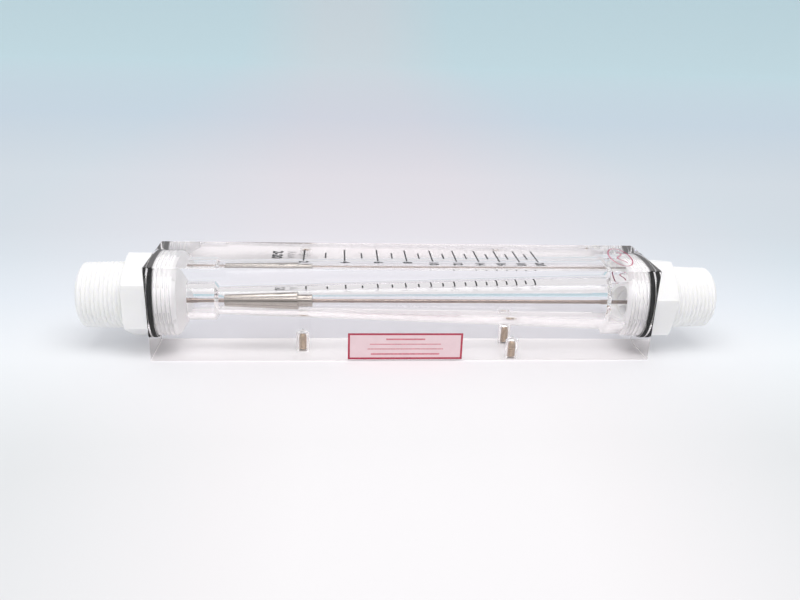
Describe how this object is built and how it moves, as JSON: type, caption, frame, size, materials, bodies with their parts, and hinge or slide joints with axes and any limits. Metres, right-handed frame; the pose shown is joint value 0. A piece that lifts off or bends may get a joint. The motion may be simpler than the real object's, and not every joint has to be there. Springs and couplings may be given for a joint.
{
  "type": "rotameter",
  "caption": "In-line clear block flow meter with a tapered bore, a float on a guide rod, male pipe-thread ends and threaded inserts in its back.",
  "frame": {"origin": "centre of the back face, which the meter lies on", "axes": "+X along the bore from inlet to outlet, +Z out of the scale face, +Y across it"},
  "size_m": [0.335, 0.0444, 0.0511],
  "materials": {
    "acrylic": "clear cast acrylic, polished outside, reamed bore",
    "white_pvc": "machined white PVC, satin",
    "o_ring_rubber": "black moulded rubber",
    "support_pvc": "machined white PVC",
    "rod_steel": "ground stainless rod",
    "float_steel": "turned stainless, fine lathe marks round the axis",
    "insert_brass": "turned brass"
  },
  "bodies": {
    "meter": {"body": "acrylic", "inlet_fitting": "white_pvc", "outlet_fitting": "white_pvc", "inlet_o_ring": "o_ring_rubber", "outlet_o_ring": "o_ring_rubber", "inlet_rod_support": "support_pvc", "outlet_rod_support": "support_pvc", "guide_rod": "rod_steel", "inlet_stop_sleeve": "rod_steel", "outlet_stop_collar": "rod_steel", "mounting_insert_inlet": "insert_brass", "mounting_insert_outlet_near": "insert_brass", "mounting_insert_outlet_far": "insert_brass"},
    "float": {"float": "float_steel"}
  },
  "joints": [
    {"name": "float_slide", "type": "slide", "parent": "meter", "child": "float", "axis": [1, 0, 0], "range_m": [-0.0143, 0.1566]}
  ]
}
